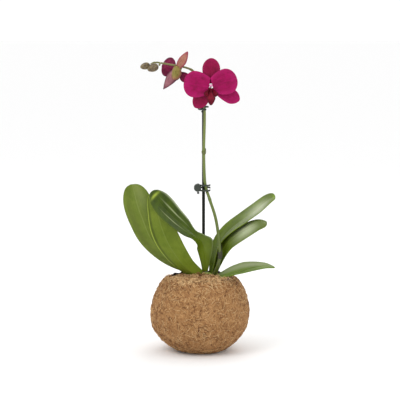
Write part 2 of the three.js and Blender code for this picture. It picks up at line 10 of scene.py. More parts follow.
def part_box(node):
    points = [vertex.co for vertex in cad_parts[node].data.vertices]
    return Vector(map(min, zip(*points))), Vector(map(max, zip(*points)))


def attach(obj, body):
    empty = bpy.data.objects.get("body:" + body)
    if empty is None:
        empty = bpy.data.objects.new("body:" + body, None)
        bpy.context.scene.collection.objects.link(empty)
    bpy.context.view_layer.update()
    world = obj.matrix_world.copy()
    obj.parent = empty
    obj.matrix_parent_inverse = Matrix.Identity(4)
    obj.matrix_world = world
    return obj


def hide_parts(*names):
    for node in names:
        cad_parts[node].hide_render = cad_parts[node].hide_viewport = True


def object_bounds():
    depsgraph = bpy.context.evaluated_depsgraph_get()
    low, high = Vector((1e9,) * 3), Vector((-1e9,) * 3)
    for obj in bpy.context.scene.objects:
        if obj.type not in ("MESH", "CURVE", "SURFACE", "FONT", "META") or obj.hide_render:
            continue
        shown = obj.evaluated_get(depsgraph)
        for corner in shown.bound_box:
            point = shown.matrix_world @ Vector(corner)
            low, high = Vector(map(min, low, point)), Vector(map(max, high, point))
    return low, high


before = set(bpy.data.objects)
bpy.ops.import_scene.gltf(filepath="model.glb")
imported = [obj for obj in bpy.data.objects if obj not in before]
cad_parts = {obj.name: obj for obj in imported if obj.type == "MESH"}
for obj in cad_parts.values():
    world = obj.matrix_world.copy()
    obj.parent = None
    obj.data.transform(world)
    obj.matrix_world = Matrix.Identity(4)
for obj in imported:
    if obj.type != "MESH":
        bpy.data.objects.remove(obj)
cad_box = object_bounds()
mm = 0.001
weld = 0.01 * mm  # corners closer than this become one


# ---------------- the studio
# The plant stands on a pale floor that runs out of sight. A broad soft lamp hangs over it to the left,
# weaker ones fill from the right and from behind, and the camera looks slightly down from the front.
plant_top = cad_box[1][2]
aim = Vector((0, 0, 0.1978))
camera_distance = 2.0
camera_pitch = math.radians(6.5)
camera_data = bpy.data.cameras.new("camera")
camera_data.lens = 138.5
camera_data.sensor_width = 36
camera = bpy.data.objects.new("camera", camera_data)
bpy.context.collection.objects.link(camera)
camera.location = aim + camera_distance * Vector((0, -math.cos(camera_pitch), math.sin(camera_pitch)))
camera.rotation_euler = (aim - camera.location).to_track_quat("-Z", "Y").to_euler()
bpy.context.scene.camera = camera
bpy.context.scene.view_settings.view_transform = "Standard"


def paint(red, green, blue):
    """A shader colour from the 0 to 255 values of a paint card."""
    shares = [value / 255 for value in (red, green, blue)]
    linear = [share / 12.92 if share <= 0.04045 else ((share + 0.055) / 1.055) ** 2.4 for share in shares]
    return (*linear, 1)


def new_finish(name, roughness, specular=0.5):
    """A material, its shader, and a pattern space in the piece's own metres."""
    material = bpy.data.materials.new(name)
    material.use_nodes = True
    shader = material.node_tree.nodes["Principled BSDF"]
    shader.inputs["Roughness"].default_value = roughness
    shader.inputs["Specular IOR Level"].default_value = specular
    space = material.node_tree.nodes.new("ShaderNodeTexCoord").outputs["Object"]
    return material, shader, space


def new_node(kind, *inputs):
    """A new node in the tree of the first input that is another node's output."""
    tree = next(value.id_data for value in inputs if isinstance(value, bpy.types.NodeSocket))
    return tree.nodes.new(kind)


def feed(socket, value):
    """Joins a node's output to a socket, or gives it a number or a paint card colour."""
    if isinstance(value, bpy.types.NodeSocket):
        socket.id_data.links.new(value, socket)
    else:
        socket.default_value = paint(*value) if isinstance(value, tuple) else value


def scaled(space, scale):
    mapping = new_node("ShaderNodeMapping", space)
    mapping.inputs["Scale"].default_value = scale
    feed(mapping.inputs["Vector"], space)
    return mapping.outputs["Vector"]


def mottle(space, grain, detail=4, roughness=0.6, distortion=0):
    """Cloudy noise with lumps about `grain` metres across."""
    node = new_node("ShaderNodeTexNoise", space)
    node.inputs["Scale"].default_value = 1 / grain
    node.inputs["Detail"].default_value = detail
    node.inputs["Roughness"].default_value = roughness
    node.inputs["Distortion"].default_value = distortion
    feed(node.inputs["Vector"], space)
    return node.outputs["Fac"]


def graded(value, stops):
    """Paint card colours or greys picked by a value, from a list of (value, colour)."""
    node = new_node("ShaderNodeValToRGB", value)
    band = node.color_ramp
    while len(band.elements) < len(stops):
        band.elements.new(0.5)
    for element, (at, colour) in zip(band.elements, stops):
        element.position = at
        element.color = paint(*colour) if isinstance(colour, tuple) else (colour, colour, colour, 1)
    feed(node.inputs["Fac"], value)
    return node.outputs["Color"]


def mixed(share, first, second, way="MIX"):
    """Two colours mixed. Each input is a node's output, a number or a paint card colour."""
    node = new_node("ShaderNodeMix", share, first, second)
    node.data_type = "RGBA"
    node.blend_type = way
    feed(node.inputs[0], share)
    feed(node.inputs[6], first)
    feed(node.inputs[7], second)
    return node.outputs[2]


def sums(way, first, second):
    """One step of arithmetic. Each input is a node's output or a number."""
    node = new_node("ShaderNodeMath", first, second)
    node.operation = way
    feed(node.inputs[0], first)
    feed(node.inputs[1], second)
    return node.outputs[0]


def weighed(first, first_share, second, second_share):
    """Two values added, each by its own share."""
    return sums("ADD", sums("MULTIPLY", first, first_share), sums("MULTIPLY", second, second_share))


def height_share(space):
    """How high a place is, as a share of the plant's height."""
    parts = new_node("ShaderNodeSeparateXYZ", space)
    feed(parts.inputs[0], space)
    return sums("DIVIDE", parts.outputs["Z"], plant_top)


def surface(shader, tone, height=None, depth=0):
    """A finish's colour, and its relief of a real depth in metres from a height of 0 to 1."""
    feed(shader.inputs["Base Color"], tone)
    if height is not None:
        bump = new_node("ShaderNodeBump", height)
        bump.inputs["Strength"].default_value = 1
        bump.inputs["Distance"].default_value = depth
        feed(bump.inputs["Height"], height)
        feed(shader.inputs["Normal"], bump.outputs["Normal"])


def fleshy(shader, share, depths):
    """Light that soaks in: its share, and how deep its red, green and blue go in metres."""
    shader.inputs["Subsurface Weight"].default_value = share
    shader.inputs["Subsurface Radius"].default_value = depths


def repaint(node, material):
    """A new finish on a CAD node that stays in sight."""
    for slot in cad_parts[node].material_slots:
        slot.material = material


def add_object(name, data, material=None, body="planter"):
    """Puts a finished mesh or curve in the scene, riding on a body."""
    piece = bpy.data.objects.new(name, data)
    bpy.context.collection.objects.link(piece)
    if material:
        data.materials.append(material)
    if body:
        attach(piece, body)
    return piece


def finished_mesh(name, sheet, smooth=True):
    """A mesh from a bmesh, shaded smooth unless told otherwise."""
    mesh = bpy.data.meshes.new(name)
    for face in sheet.faces:
        face.smooth = smooth
    sheet.to_mesh(mesh)
    sheet.free()
    return mesh


def turned(points, steps):
    """A sheet turned about +Z, from a line of (radius, height) points."""
    sheet = bmesh.new()
    line = [sheet.verts.new((radius, 0, height)) for radius, height in points]
    for one, two in zip(line, line[1:]):
        sheet.edges.new((one, two))
    bmesh.ops.spin(
        sheet, geom=sheet.verts[:] + sheet.edges[:], cent=(0, 0, 0), axis=(0, 0, 1),
        angle=2 * math.pi, steps=steps, use_merge=True,
    )
    bmesh.ops.remove_doubles(sheet, verts=sheet.verts[:], dist=weld)
    bmesh.ops.recalc_face_normals(sheet, faces=sheet.faces[:])
    return sheet


def thicken(piece, thickness):
    """Gives a sheet its real thickness, half on each side."""
    skin = piece.modifiers.new("thickness", "SOLIDIFY")
    skin.thickness = thickness
    skin.offset = 0


floor_finish, shader, _ = new_finish("studio_floor", 0.9, specular=0.1)
shader.inputs["Base Color"].default_value = (0.93, 0.93, 0.93, 1)
floor_sheet = bmesh.new()
bmesh.ops.create_grid(floor_sheet, x_segments=2, y_segments=2, size=40)
floor = add_object("studio_floor", finished_mesh("studio_floor", floor_sheet), floor_finish, body=None)

world = bpy.data.worlds.new("studio")
world.use_nodes = True
world.node_tree.nodes["Background"].inputs["Color"].default_value = (1, 1, 1, 1)
world.node_tree.nodes["Background"].inputs["Strength"].default_value = 1.06
bpy.context.scene.world = world


def softbox(name, place, size, power):
    lamp_data = bpy.data.lights.new(name, "AREA")
    lamp_data.shape = "RECTANGLE"
    lamp_data.size, lamp_data.size_y = size
    lamp_data.energy = power
    lamp = bpy.data.objects.new(name, lamp_data)
    bpy.context.collection.objects.link(lamp)
    lamp.location = place
    inward = Vector((0, 0, plant_top / 2)) - lamp.location
    lamp.rotation_euler = inward.to_track_quat("-Z", "Y").to_euler()


softbox("key_lamp", Vector((-0.9, -1.1, 1.5)), (0.9, 0.9), 9)
softbox("fill_lamp", Vector((1.3, -0.9, 0.7)), (0.8, 1.2), 2)
softbox("back_lamp", Vector((0.4, 1.4, 1.3)), (1.2, 0.6), 5)


# ---------------- the coir ball
# An open ball moulded from coconut fibre and a natural rubber binder. Its wall is a felt of short
# stiff fibres lying every way, thicker in some places than others, with loose ends. Its pits are dark
# spots of painted shade, and its upright split is a line of dark fibres standing for painted shade.
ball_low, ball_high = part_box("coir_shell")
ball_height = ball_high[2]
belly_radius = (ball_high[0] - ball_low[0]) / 2
belly_height = ball_height * 0.497
base_radius = belly_radius * 0.403
mouth_radius = belly_radius * 0.721
wall = 6 * mm
lip_round = 2 * mm
foot_round = 1.6 * mm
low_axis = belly_height / math.sqrt(1 - (base_radius / belly_radius) ** 2)
high_axis = (ball_height - belly_height) / math.sqrt(1 - (mouth_radius / belly_radius) ** 2)
ball_middle = Vector((0, 0, belly_height))


def ball_radius(height, inset=0):
    axis = (low_axis if height < belly_height else high_axis) - inset
    share = min(1, abs(height - belly_height) / axis)
    return (belly_radius - inset) * math.sqrt(1 - share**2)


def uneven(place):
    """How far the felt stands proud of the true ball at a place: broad swells, tufts and fibre ends."""
    swell = noise.noise(place * 17 + Vector((3.1, 0, 0))) * 1.5 * mm
    tuft = noise.noise(place * 75) * 0.75 * mm
    grain = noise.noise(place * 260) * 0.55 * mm
    return swell + tuft + grain


def felt_outline():
    """Half a section of the wall: the foot, up the outside, over the lip and down the inside."""
    points = [(0, 0), (base_radius * 0.35, 0), (base_radius * 0.7, 0), (base_radius - foot_round, 0)]
    rows = 84
    start = foot_round * 0.4
    for i in range(rows + 1):
        height = start + (ball_height - lip_round - start) * (1 - math.cos(math.pi * i / rows)) / 2
        points.append((ball_radius(height), height))
    lip_middle = mouth_radius - wall / 2
    for i in range(1, 8):
        turn = math.pi * i / 8
        height = ball_height - lip_round + lip_round * math.sin(turn)
        points.append((lip_middle + wall / 2 * math.cos(turn), height))
    for height in (0.93, 0.8, 0.65, 0.5, 0.35, 0.2, 0.1):
        points.append((ball_radius(ball_height * height, wall), ball_height * height))
    points.append((0, ball_height * 0.08))
    return points


felt = turned(felt_outline(), 300)
felt.normal_update()
moves = []
for corner in felt.verts:
    outside = corner.normal.dot(corner.co - ball_middle) > 0
    foot = max(0, 1 - corner.co.z / (4 * mm))
    share = (1 if outside else 0.4) * (1 - foot)
    moves.append((corner, corner.normal * uneven(corner.co) * share))
for corner, move in moves:
    corner.co += move

coir_finish, shader, space = new_finish("coir_felt", 0.92, specular=0.2)
cloudy = mottle(space, 20 * mm, 5, 0.7)
fibres = mottle(scaled(space, (1, 1, 0.55)), 1.6 * mm, 6, 0.75, 1.5)
pits = mottle(space, 3.4 * mm, 3, 0.7, 0.6)
tone = graded(cloudy, [(0.34, (124, 84, 50)), (0.5, (158, 116, 74)), (0.66, (190, 148, 102))])
streaks = graded(fibres, [(0.34, (68, 42, 24)), (0.48, (160, 114, 70)), (0.66, (216, 174, 120))])
blended = mixed(0.62, tone, streaks)
# The dark spots of the pits are painted shade in the felt's hollows.
pit_shade = sums("MULTIPLY", graded(pits, [(0.36, 1.0), (0.44, 0.0)]), 0.75)
surface(shader, mixed(pit_shade, blended, (84, 48, 28)), fibres, 1.4 * mm)

coir_ball = add_object("coir_ball", finished_mesh("coir_ball", felt), coir_finish)
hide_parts("coir_shell")


def strand_finish(name, dark, light):
    material, shader, space = new_finish(name, 0.75, specular=0.3)
    tone = graded(mottle(space, 4 * mm, 3), [(0.35, dark), (0.65, light)])
    surface(shader, tone, mottle(space, 0.3 * mm, 2), 0.05 * mm)
    return material


strand_finishes = [
    strand_finish("coir_strand_light", (186, 144, 96), (226, 192, 142)),
    strand_finish("coir_strand_mid", (138, 94, 58), (176, 128, 82)),
    strand_finish("coir_strand_dark", (92, 56, 30), (128, 82, 48)),
]


def strands(name, thickness, routes):
    """Fibres as one curve piece. Each route is (points, finish number), thinner at both ends."""
    curve = bpy.data.curves.new(name, "CURVE")
    curve.dimensions = "3D"
    curve.bevel_depth = thickness / 2
    curve.bevel_resolution = 0
    for material in strand_finishes:
        curve.materials.append(material)
    for points, shade in routes:
        spline = curve.splines.new("POLY")
        spline.points.add(len(points) - 1)
        spline.material_index = shade
        for i, (knot, place) in enumerate(zip(spline.points, points)):
            share = i / (len(points) - 1)
            knot.co = (*place, 1)
            knot.radius = 0.35 + 0.75 * math.sin(math.pi * share)
    return add_object(name, curve)


# how many fibres lie in the felt and how many dark ones paint the shade in its upright split, and where it is
felt_count = 3000
split_count = 14
split_x = -2 * mm
split_low = 29 * mm
split_high = 44 * mm


def onto_ball(place, proud):
    """The nearest place on the uneven felt, raised by `proud`."""
    out = place - ball_middle
    axis = high_axis if out.z > 0 else low_axis
    size = math.sqrt((out.x**2 + out.y**2) / belly_radius**2 + (out.z / axis) ** 2)
    on = ball_middle + out / size
    return on + (on - ball_middle).normalized() * (uneven(on) + proud)


fibre_luck = random.Random(11)
felt_routes = []
while len(felt_routes) < felt_count:
    turn = fibre_luck.uniform(0, 2 * math.pi)
    height = ball_height * (1 - math.cos(math.pi * fibre_luck.uniform(0.1, 0.96))) / 2
    radius = ball_radius(height)
    place = Vector((radius * math.cos(turn), radius * math.sin(turn), height))
    heading = Vector([fibre_luck.gauss(0, 1) for _ in range(3)]).normalized()
    pace = fibre_luck.uniform(1.2, 3.4) * mm
    points = []
    proud = fibre_luck.uniform(0.1, 0.9) * mm
    for i in range(6):
        lift = proud * math.sin(math.pi * i / 5) - 0.25 * mm
        on = onto_ball(place, lift)
        if 0.5 * mm < on.z < ball_height - 0.5 * mm:
            points.append(on)
        heading = (heading + Vector([fibre_luck.gauss(0, 0.28) for _ in range(3)])).normalized()
        out = (on - ball_middle).normalized()
        heading = (heading - out * heading.dot(out)).normalized()
        place = on + heading * pace
    if len(points) > 3:
        felt_routes.append((points, fibre_luck.choices((0, 1, 2), (0.44, 0.3, 0.26))[0]))
# Dark fibres along the split stand for the painted shade inside it.
for _ in range(split_count):
    drift = fibre_luck.gauss(0, 0.5) * mm
    foot = fibre_luck.uniform(split_low, split_low + 6 * mm)
    head = fibre_luck.uniform(split_high - 6 * mm, split_high)
    upright = []
    for i in range(6):
        height = foot + (head - foot) * i / 5
        front = Vector((split_x + drift, -ball_radius(height), height))
        upright.append(onto_ball(front, 0.15 * mm))
    felt_routes.append((upright, 2))
felt_strands = strands("coir_felt_strands", 0.42 * mm, felt_routes)


# ---------------- the liner
# A dark plastic film that keeps the felt dry. It lies against the wall, and its wavy cut rim stands just
# above the lip behind the leaves and is tucked lower at the front.
liner_low, liner_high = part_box("liner")
film_inset = wall + 0.5 * mm
film_rim = liner_high[2] + 1.2 * mm
film_mouth = ball_radius(ball_height, film_inset)
film_heights = [liner_low[2] + (ball_height - liner_low[2]) * i / 14 for i in range(15)]
film_points = [(0, film_heights[0])] + [(ball_radius(height, film_inset), height) for height in film_heights]
film_points += [(film_mouth - 0.6 * mm, (ball_height + film_rim) / 2), (film_mouth - 1 * mm, film_rim)]
film = turned(film_points, 120)
for corner in film.verts:
    loose = max(0, (corner.co.z - ball_height + 2 * mm) / (film_rim - ball_height))
    turn = math.atan2(corner.co.y, corner.co.x)
    wave = math.sin(turn * 9 + 1) * 0.5 + math.sin(turn * 14 + 2.2) * 0.3
    tucked = max(0, -math.sin(turn)) * 2.4 * mm
    corner.co.z += (wave * 0.9 * mm - tucked) * loose
    corner.co.xy *= 1 - max(0, math.sin(turn * 11)) * loose * 0.02
film_finish, shader, space = new_finish("liner_film", 0.42)
film_tone = graded(mottle(space, 9 * mm, 4), [(0.35, (24, 15, 17)), (0.7, (58, 34, 40))])
surface(shader, film_tone, mottle(space, 3 * mm, 3), 0.5 * mm)
liner = add_object("liner_bag", finished_mesh("liner_bag", film), film_finish)
thicken(liner, 0.4 * mm)
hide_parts("liner")


# ---------------- the growing medium and the loose coir
# Bark and coir chips fill the liner, hidden under a layer of loose coir. Curly strands of that layer
# are heaped up round the crown and spill over the front of the lip.
medium_finish, shader, space = new_finish("bark_and_coir_chips", 0.95)
chips = new_node("ShaderNodeTexVoronoi", space)
chips.inputs["Scale"].default_value = 1 / (6 * mm)
feed(chips.inputs["Vector"], space)
chip_tone = graded(chips.outputs["Distance"], [(0.1, (120, 82, 52)), (0.6, (52, 34, 24))])
chip_tone = mixed(0.4, chip_tone, chips.outputs["Color"], "SOFT_LIGHT")
surface(shader, chip_tone, chips.outputs["Distance"], 1.5 * mm)
repaint("growing_medium", medium_finish)

topping_low, topping_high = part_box("coir_topping")
topping_radius = (topping_high[0] - topping_low[0]) / 2
topping_edge = 2.6 * mm
dome_rows = 20


def dome(share):
    """The height of the loose coir's low dome at a share of its radius."""
    return topping_high[2] - (topping_high[2] - topping_low[2] - topping_edge) * share**2


def heap_height(x, y):
    """The top of the loose coir: the dome with tufts on it."""
    share = min(1, math.hypot(x, y) / topping_radius)
    return dome(share) + noise.noise(Vector((x, y, 0)) * 130) * 1.1 * mm * (1 - share**6)


heap_shares = [i / dome_rows for i in range(dome_rows + 1)]
heap_points = [(topping_radius * share, dome(share)) for share in heap_shares]
heap_points += [(topping_radius, topping_low[2]), (0, topping_low[2])]
heap = turned(heap_points, 96)
for corner in heap.verts:
    if corner.co.z > topping_low[2] + 1 * mm:
        corner.co.z = heap_height(corner.co.x, corner.co.y)
loose_finish, shader, space = new_finish("loose_coir", 0.95)
tangle = mottle(space, 1.8 * mm, 6, 0.75, 2.5)
loose_tone = graded(tangle, [(0.32, (78, 52, 32)), (0.5, (156, 116, 76)), (0.7, (216, 180, 130))])
surface(shader, loose_tone, tangle, 1.2 * mm)
coir_heap = add_object("loose_coir_heap", finished_mesh("loose_coir_heap", heap), loose_finish)
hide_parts("coir_topping")

curl_luck = random.Random(29)
heap_count = 1100
spill_count = 1000
curl_routes = []
while len(curl_routes) < heap_count:
    turn = curl_luck.uniform(0, 2 * math.pi)
    radius = topping_radius * 1.02 * math.sqrt(curl_luck.random())
    place = Vector((radius * math.cos(turn), radius * math.sin(turn), 0))
    heading = curl_luck.uniform(0, 2 * math.pi)
    bend = curl_luck.uniform(-0.9, 0.9)
    pace = curl_luck.uniform(1.0, 2.4) * mm
    front = max(0, -math.sin(turn))
    hump = curl_luck.uniform(0.3, 3.0) * (1 + 1.6 * front) * mm
    points = []
    for i in range(8):
        if math.hypot(place.x, place.y) < topping_radius:
            base = heap_height(place.x, place.y)
            points.append(Vector((place.x, place.y, base - 0.4 * mm + hump * math.sin(math.pi * i / 7))))
        heading += bend + curl_luck.gauss(0, 0.3)
        place = place + Vector((math.cos(heading), math.sin(heading), 0)) * pace
    if len(points) > 4:
        curl_routes.append((points, curl_luck.choices((0, 1, 2), (0.6, 0.3, 0.1))[0]))
spill_turns = (-168, -22)
while len(curl_routes) < heap_count + spill_count:
    turn = math.radians(curl_luck.triangular(*spill_turns, -100))
    height = ball_height - curl_luck.uniform(-4, 5) * mm
    radius = ball_radius(min(height, ball_height - 0.2 * mm)) - curl_luck.uniform(-0.3, 4) * mm
    place = Vector((radius * math.cos(turn), radius * math.sin(turn), height))
    heading = Vector([curl_luck.gauss(0, 1), curl_luck.gauss(0, 0.5), curl_luck.gauss(0, 0.6)]).normalized()
    pace = curl_luck.uniform(0.9, 2.0) * mm
    points = []
    for i in range(7):
        limit = ball_radius(min(max(place.z, 0), ball_height - 0.2 * mm)) + 0.9 * mm
        flat = math.hypot(place.x, place.y)
        if flat > limit:
            place.xy *= limit / flat
        points.append(place.copy())
        heading = (heading + Vector([curl_luck.gauss(0, 0.5) for _ in range(3)])).normalized()
        place = place + heading * pace
        place.z = min(place.z, ball_height + 5.5 * mm)
    curl_routes.append((points, curl_luck.choices((0, 1, 2), (0.8, 0.16, 0.04))[0]))
coir_curls = strands("loose_coir_curls", 0.65 * mm, curl_routes)


# ---------------- the crown
# The short stem that every leaf clasps. Only its yellow-green top stands clear of the loose coir,
# with the pale roots below it running down through the chips.
_, crown_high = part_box("crown_and_roots")
crown_middle = Vector((8 * mm, 0, crown_high[2] - 12 * mm))
crown_finish, shader, space = new_finish("crown_flesh", 0.5)
fleshy(shader, 0.1, (0.004, 0.005, 0.001))
crown_shade = mottle(scaled(space, (1, 1, 0.2)), 2.4 * mm, 4)
crown_tone = graded(crown_shade, [(0.3, (92, 112, 34)), (0.55, (132, 148, 56)), (0.75, (166, 176, 88))])
surface(shader, crown_tone, crown_shade, 0.3 * mm)
repaint("crown_and_roots", crown_finish)
flesh = bmesh.new()
bmesh.ops.create_uvsphere(flesh, u_segments=40, v_segments=24, radius=1)
for corner in flesh.verts:
    ribs = 1 + 0.04 * math.cos(math.atan2(corner.co.y, corner.co.x) * 9)
    x, y, z = corner.co
    corner.co = Vector((x * 12.7 * mm * ribs, y * 7.2 * mm * ribs, z * 12.2 * mm)) + crown_middle
crown_top = add_object("crown_flesh", finished_mesh("crown_flesh", flesh), crown_finish)


# ---------------- the stake
# A slim split-cane stake, planed round and lacquered a green that is nearly black, pushed down beside
# the crown. Its ends are cut square with the corners rubbed off.
stake_low, stake_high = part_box("support_stake")
stake_radius = (stake_high[0] - stake_low[0]) / 2
cane = bmesh.new()
bmesh.ops.create_cone(
    cane, cap_ends=True, segments=40, radius1=stake_radius, radius2=stake_radius,
    depth=stake_high[2] - stake_low[2],
)
rims = [edge for edge in cane.edges if len([face for face in edge.link_faces if len(face.verts) > 4]) == 1]
bmesh.ops.bevel(cane, geom=rims, offset=0.5 * mm, segments=3, profile=0.5, affect="EDGES", material=-1)
stake_middle = [(low + high) / 2 for low, high in zip(stake_low, stake_high)]
bmesh.ops.translate(cane, verts=cane.verts[:], vec=stake_middle)
cane_finish, shader, space = new_finish("lacquered_cane", 0.38, specular=0.15)
grain = mottle(scaled(space, (1, 1, 0.04)), 0.9 * mm, 4, 0.7)
cane_tone = graded(grain, [(0.3, (12, 14, 10)), (0.6, (24, 28, 20)), (0.8, (40, 46, 32))])
surface(shader, cane_tone, grain, 0.15 * mm)
stake = add_object("cane_stake", finished_mesh("cane_stake", cane), cane_finish)
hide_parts("support_stake")


# ---------------- the leaves
# Six thick strap leaves. Each clasps the crown with a narrow folded base, broadens, and ends in a blunt
# rounded tip. The blade has a sunken midrib, a thin pale margin and a waxy skin.
def above_crown(x, y, height):
    """A place on the plant in millimetres, with its height measured from the top of the crown."""
    return Vector((x * mm, y * mm, crown_high[2] + height * mm))


def between(before, start, end, after, u):
    """A smooth step from `start` to `end`, shaped by their neighbours. It takes numbers or places."""
    bent = (2 * before - 5 * start + 4 * end - after) * u**2
    sharp = (3 * start - before - 3 * end + after) * u**3
    return 0.5 * (2 * start + (end - before) * u + bent + sharp)


def route_through(points):
    """A smooth route through points. Returns a function from an even share of its length to a place."""
    ends = [2 * points[0] - points[1], *points, 2 * points[-1] - points[-2]]
    dense = []
    steps = 30
    for before, start, end, after in zip(ends, ends[1:], ends[2:], ends[3:]):
        dense += [between(before, start, end, after, i / steps) for i in range(steps)]
    dense.append(points[-1])
    lengths = [0.0]
    for one, two in zip(dense, dense[1:]):
        lengths.append(lengths[-1] + (two - one).length)

    def at(share):
        reach = min(1, max(0, share)) * lengths[-1]
        i = min(len(dense) - 2, max(0, bisect.bisect_right(lengths, reach) - 1))
        rest = (reach - lengths[i]) / (lengths[i + 1] - lengths[i])
        return dense[i].lerp(dense[i + 1], rest)

    return at


def heading_on(at, share):
    return (at(share + 0.01) - at(share - 0.01)).normalized()


def listed(values, share):
    """A value read smoothly from a short list spread evenly over 0 to 1."""
    reach = min(1, max(0, share)) * (len(values) - 1)
    i = min(len(values) - 2, int(reach))
    before = values[max(0, i - 1)]
    after = values[min(len(values) - 1, i + 2)]
    return between(before, values[i], values[i + 1], after, reach - i)


def oval_share(t, widest, base, fullness, swell=2.0):
    """Half the width along a blade, as a share of its widest half."""
    if t < widest:
        return base + (1 - base) * (1 - ((widest - t) / widest) ** swell)
    u = (t - widest) / (1 - widest)
    return max(0.02, (1 - u**fullness) ** (1 / fullness))


def blade(name, at, half_width, upper_side, fold, thickness, rows, columns, midrib=0.0, ripple=None):
    """A blade along a route. Its "blade" UV map runs across in U and along in V.

    `fold` lifts the margins towards the upper side and `midrib` sinks the middle line. `ripple` lifts
    the surface by a length worked out from (t, s), with s from -1 to 1 across.
    """
    sheet = bmesh.new()
    sheet.loops.layers.uv.new("blade")
    bmesh.ops.create_grid(sheet, x_segments=columns, y_segments=rows, size=1, calc_uvs=True)
    for corner in sheet.verts:
        s = corner.co.x
        t = 1 - (1 - (corner.co.y + 1) / 2) ** 1.35
        ahead = heading_on(at, t)
        up = upper_side(t, ahead)
        up = (up - ahead * up.dot(ahead)).normalized()
        across = ahead.cross(up)
        half = half_width(t, s)
        lift = fold(t) * half * abs(s) ** 1.5 - midrib * math.exp(-((s / 0.1) ** 2)) * (1 - t**3)
        if ripple:
            lift += ripple(t, s)
        corner.co = at(t) + across * s * half + up * lift
    piece = add_object(name, finished_mesh(name, sheet))
    thicken(piece, thickness)
    rounding = piece.modifiers.new("rounding", "SUBSURF")
    rounding.levels = 1
    rounding.render_levels = 1
    return piece


def blade_space(shader):
    """A blade's own space, its across and along values from 0 to 1, and how far off the middle it is."""
    node = shader.id_data.nodes.new("ShaderNodeUVMap")
    node.uv_map = "blade"
    uv = node.outputs["UV"]
    parts = new_node("ShaderNodeSeparateXYZ", uv)
    feed(parts.inputs[0], uv)
    across, along, _ = parts.outputs
    return uv, across, along, sums("ABSOLUTE", sums("SUBTRACT", across, 0.5), 0)


def patch(across, along, middle, size):
    """1 at a place on a blade, falling softly to 0 at the edge of an oval round it."""
    aside = sums("DIVIDE", sums("SUBTRACT", across, middle[0]), size[0])
    ahead = sums("DIVIDE", sums("SUBTRACT", along, middle[1]), size[1])
    square = weighed(aside, aside, ahead, ahead)
    return sums("POWER", 2.718, sums("MULTIPLY", square, -2.0))


def leaf_finish(name, dark, light, margin, rib, roughness, patches):
    """Leaf skin: mottled, fine lengthwise veins, a pale margin, a midrib, and patches of tone and of painted
    sheen, highlight and shade.
    """
    material, shader, space = new_finish(name, roughness, specular=0.14)
    fleshy(shader, 0.06, (0.002, 0.004, 0.001))
    shader.inputs["Coat Weight"].default_value = 0.05
    shader.inputs["Coat Roughness"].default_value = 0.25
    uv, across, along, from_middle = blade_space(shader)
    cloud = mottle(space, 16 * mm, 5, 0.6)
    veins = mottle(scaled(uv, (60, 2.2, 1)), 1, 3, 0.6)
    tone = graded(weighed(cloud, 0.65, veins, 0.35), [(0.36, dark), (0.62, light)])
    # each patch lays its colour over the skin, as leaf tone or as painted sheen, highlight and shade
    for middle, size, colour, strength in patches:
        share = sums("MULTIPLY", patch(across, along, middle, size), strength)
        tone = mixed(share, tone, colour)
    tone = mixed(graded(from_middle, [(0.0, 0.35), (0.02, 0.0)]), tone, rib)
    tone = mixed(graded(from_middle, [(0.47, 0.0), (0.5, 0.35)]), tone, margin)
    surface(shader, tone, veins, 0.12 * mm)
    return material
